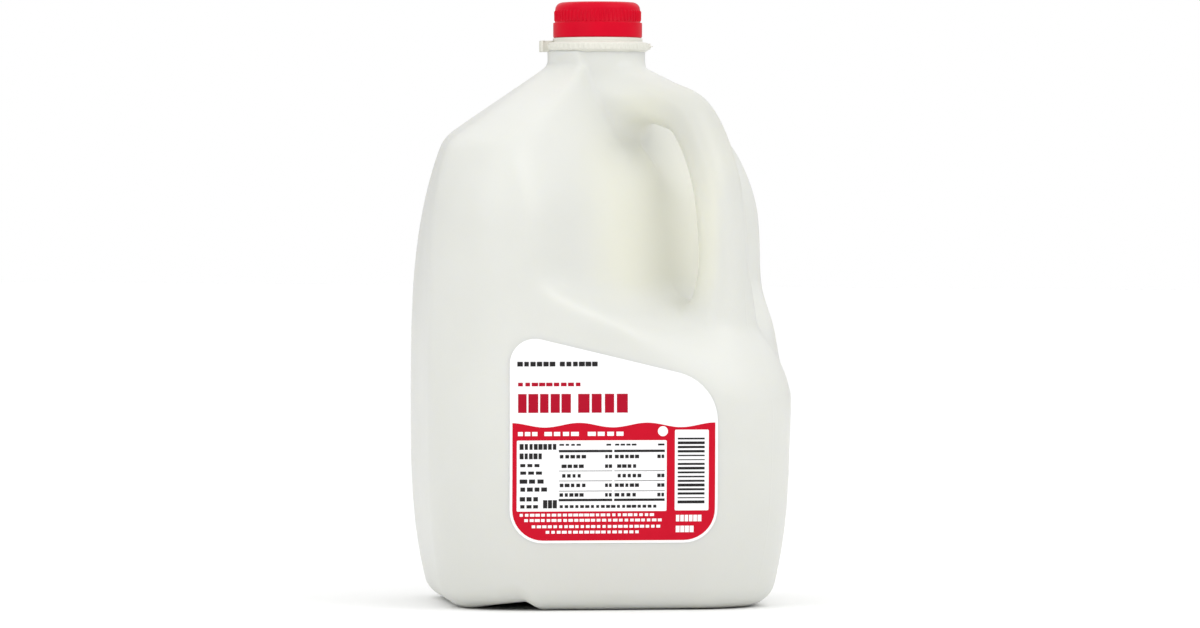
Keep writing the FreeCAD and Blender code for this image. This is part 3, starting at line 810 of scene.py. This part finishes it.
def smallPrint(left, right, height, middle, word, least, seed):   # one line of generic small print
    count = max(round((right - left) / word), 1)
    step = (right - left) / count
    values = {"Start": (left + step / 2, middle, 0), "Step": (step, 0, 0),
              "Size": (step * wordShare, height, 1), "Least": (least, 1, 1),
              "Count": count, "Seed": seed}
    return runTree("smallPrint", bpy.data.meshes.new("empty"), printedBars, values)


def codeBars(s):                               # level bars of uneven thickness, one above another
    step = (s["barHigh"] - s["barLow"]) / s["bars"]
    values = {"Start": ((s["barLeft"] + s["barRight"]) / 2, s["barLow"], 0), "Step": (0, step, 0),
              "Size": (s["barRight"] - s["barLeft"], step * s["barShare"], 1),
              "Least": (1, s["barLeast"], 1), "Count": s["bars"] + 1, "Seed": s["seed"]}
    return runTree("codeBars", bpy.data.meshes.new("empty"), printedBars, values)


def tablePrint(s):                             # the table's rules and its lines of small print
    one, two, three, four = s["columns"]
    rules = [(middle, s["rule"]) for middle in s["thickRules"]]
    rules += [(middle, s["thinRule"]) for middle in s["thinRules"]]
    prints = []
    for middle, ruleThickOrLowShade in rules:
        for left, right in ((one, two), (three, four)):
            bar = rectangle(left, right, middle - ruleThickOrLowShade / 2, middle + ruleThickOrLowShade / 2)
            prints.append(flatShape([bar], s["grain"]))
    for row in range(s["rows"]):
        middle = s["rowTop"] - row * s["rowPitch"]
        for place, (left, right) in enumerate(((one, two), (three, four))):
            inset = 1.0 if row in (1, 2) else 0        # two rows are set in
            seed = 10 + row * 2 + place
            end = left + s["rowLong"] - (row + place) % 3
            prints.append(smallPrint(left + inset, end, s["rowHeight"], middle, s["rowWord"],
                                     s["rowLeast"], seed))
            if (row + place) % 5 != 2:         # some rows have no figure
                prints.append(smallPrint(right - s["figureLong"], right, s["rowHeight"], middle,
                                         s["figureWord"], s["figureLeast"], seed + 40))
    heads = [(one, one + s["headLong"]), (two - s["headShort"], two),
             (three, three + s["headLong"]), (four - s["headShort"], four)]
    for seed, (left, right) in enumerate(heads, 60):
        prints.append(smallPrint(left, right, s["headHeight"], s["head"], 2.4, 0.6, seed))
    return prints + [smallPrint(*line) for line in tableLines]


def makeLabel(s, table, code):
    left, right, low, high = s["left"], s["right"], s["low"], s["high"]
    outline = roundCorners([(left, low), (right, low), (right, high - s["topDrop"]), (left, high)],
                           [s["corner"], s["corner"], s["farCorner"], s["topCorner"]])
    white = printedFilm("whitePolypropyleneFilm", "fdfdfd", "f8f8f9", 0.42)
    crimson = printedFilm("redInkOnFilm", "cc0f2b", "c40c27", 0.4, 0.1)
    deepRed = printedFilm("crimsonInkOnFilm", "b30f2c", "a90c28", 0.4, 0.1)
    black = printedFilm("blackInkOnFilm", "1d1b1c", "262425", 0.4, 0.2)
    film = layPrint("labelFilm", [flatShape([outline], s["grain"])], white, s["film"])
    shape = bmesh.new()                        # the film's cut edge is turned in to the jug's face
    shape.from_mesh(film)
    rim = bmesh.ops.extrude_edge_only(shape, edges=[edge for edge in shape.edges if edge.is_boundary])
    for part in rim["geom"]:
        if isinstance(part, bmesh.types.BMVert):
            part.co -= faceOut * s["turnIn"] * mm
    shape.to_mesh(film)
    shape.free()
    piece = makePiece("labelFilm", film)
    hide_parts("label")

    inset = s["border"]
    lower = roundCorners(rectangle(left + inset, right - inset, low + inset, 60),
                         [s["corner"] - inset, s["corner"] - inset, 0.01, 0.01])
    crest = []
    for step in range(61):
        u = right - inset - (right - left - 2 * inset) * step / 60
        wave = math.cos(math.tau * (u - s["waveStart"]) / s["wavePitch"])
        crest.append((u, s["waveTop"] + s["wavePeak"] * wave))
    field = [tuple(point) for point in lower[:-22]] + crest     # the wave replaces the two upper arcs
    ground = [flatShape([field], s["grain"])]
    makePiece("labelRed", layPrint("labelRed", ground, crimson, s["film"] + s["ink"]))
    title = [smallPrint(*line) for line in titleLines]
    makePiece("labelTitle", layPrint("labelTitle", title, deepRed, s["film"] + s["ink"]))

    panels = [roundCorners(rectangle(part["left"], part["right"], part["low"], part["high"]), [0.5] * 4, 3)
              for part in (table, code)]
    dotU, dotV, dotRadius = s["dot"]
    turns = [math.tau * step / 24 for step in range(24)]
    panels.append([(dotU + dotRadius * math.cos(turn), dotV + dotRadius * math.sin(turn)) for turn in turns])
    whites = [flatShape([panel], s["grain"]) for panel in panels] + [smallPrint(*line) for line in whiteLines]
    makePiece("labelWhite", layPrint("labelWhite", whites, white, s["film"] + 2 * s["ink"]))

    dark = tablePrint(table) + [codeBars(code)] + [smallPrint(*line) for line in blackLines]
    makePiece("labelBlack", layPrint("labelBlack", dark, black, s["film"] + 3 * s["ink"]))


makeLabel(labelSizes, tableSizes, codeSizes)


lightSizes = {"aim": (0, 0, 0.12), "floorReach": 12.0, "horizon": 0.45, "zenith": 1.12, "riseEnd": 0.6,
              "keyPlace": (1.34, -0.1, 1.3), "keyPower": 5.2, "keySize": 1.1,
              "fillPlace": (0.1, -1.7, 1.0), "fillPower": 4.2, "fillSize": 1.2}


def softLamp(name, place, aim, size, power):   # a square panel that faces its aim
    data = bpy.data.lights.new(name, "AREA")
    data.size = size
    data.energy = power
    lamp = bpy.data.objects.new(name, data)
    lamp.location = place
    lamp.rotation_euler = (Vector(aim) - Vector(place)).to_track_quat("-Z", "Y").to_euler()
    bpy.context.scene.collection.objects.link(lamp)


def makeStage(s):
    reach = s["floorReach"]
    corners = [(-reach, -reach, 0), (reach, -reach, 0), (reach, reach, 0), (-reach, reach, 0)]
    floor = bpy.data.objects.new("floor", plainMesh("floor", corners, [(0, 1, 2, 3)]))
    bpy.context.scene.collection.objects.link(floor)
    paint, _, _ = newMaterial("studioFloorMattePaint", "fdfdfd", 0.9)
    floor.data.materials.append(paint)
    world = bpy.data.worlds.new("studio")      # a white tent, dimmer low down, seen as plain white
    world.use_nodes = True
    tree = world.node_tree
    place = addNode(tree, "ShaderNodeTexCoord").outputs["Generated"]
    height = Flow(tree, addNode(tree, "ShaderNodeSeparateXYZ", i0=place).outputs[2])
    glow = s["horizon"] + softStep(height / s["riseEnd"]) * (s["zenith"] - s["horizon"])
    seen = Flow(tree, addNode(tree, "ShaderNodeLightPath").outputs["Is Camera Ray"])
    strength = glow * (1.0 - seen) + seen
    backdrop = tree.nodes["Background"]
    backdrop.inputs["Color"].default_value = (1, 1, 1, 1)
    tree.links.new(strength.socket, backdrop.inputs["Strength"])
    bpy.context.scene.world = world
    bpy.context.scene.view_settings.view_transform = "Standard"
    softLamp("keyLamp", s["keyPlace"], s["aim"], s["keySize"], s["keyPower"])
    softLamp("fillLamp", s["fillPlace"], s["aim"], s["fillSize"], s["fillPower"])
    print("floor, world and lamps placed")


makeStage(lightSizes)
